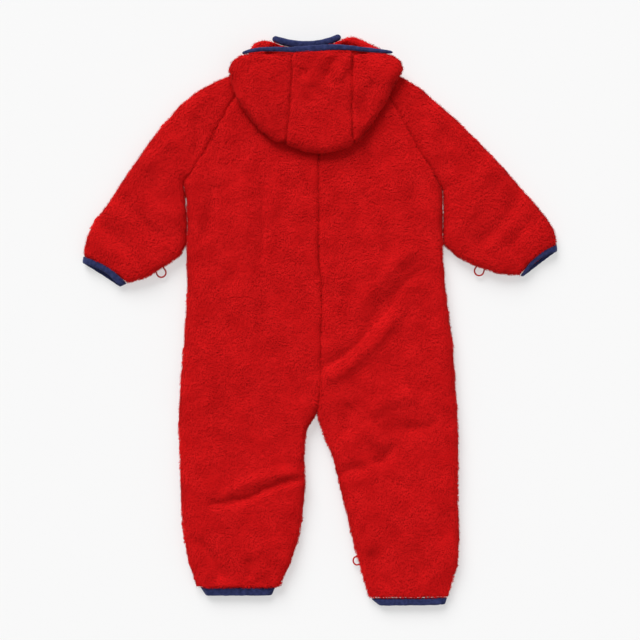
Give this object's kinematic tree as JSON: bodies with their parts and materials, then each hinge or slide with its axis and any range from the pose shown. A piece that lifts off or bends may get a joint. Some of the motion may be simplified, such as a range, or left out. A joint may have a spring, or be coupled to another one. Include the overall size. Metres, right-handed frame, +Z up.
{
  "type": "onesie pajama",
  "caption": "Hooded long-sleeved baby onesie in red pile fleece with dark blue bindings, laid flat face down with its hood thrown back.",
  "frame": {"origin": "middle of the garment's bounding box, on the surface it lies on", "axes": "+Y from the ankles to the head, +X towards the wearer's right, +Z up from the surface, towards the wearer's back"},
  "size_m": [0.567, 0.683, 0.0321],
  "materials": {
    "red_fleece": "long-pile polyester fleece, soft sheen along the nap",
    "navy_binding": "fine elastic knit, matte",
    "red_cord": "thin braided cord",
    "zip_tape": "woven tape with a moulded coil",
    "zip_metal": "plain nickel-grey slider and tab"
  },
  "bodies": {
    "garment": {"back_left": "red_fleece", "back_right": "red_fleece", "front_left": "red_fleece", "front_right": "red_fleece", "sleeve_left": "red_fleece", "sleeve_right": "red_fleece", "hood_middle": "red_fleece", "hood_side_left": "red_fleece", "hood_side_right": "red_fleece", "hood_front_left": "red_fleece", "hood_front_right": "red_fleece", "cuff_left": "navy_binding", "cuff_right": "navy_binding", "ankle_band_left": "navy_binding", "ankle_band_right": "navy_binding", "hood_binding_rim": "navy_binding", "hood_binding_neck_left": "navy_binding", "hood_binding_neck_right": "navy_binding", "wrist_loop_left": "red_cord", "wrist_loop_right": "red_cord", "ankle_loop_right": "red_cord", "zip_left": "zip_tape", "zip_right": "zip_tape", "zip_slider": "zip_metal"},
    "zip_pull_body": {"zip_pull": "zip_metal"}
  },
  "joints": [
    {"name": "zip_pull_swing", "type": "hinge", "parent": "garment", "child": "zip_pull_body", "pos_m": [-0.0154, 0.3098, 0.0017], "axis": [1, 0, 0], "range_deg": [0, 165]}
  ]
}
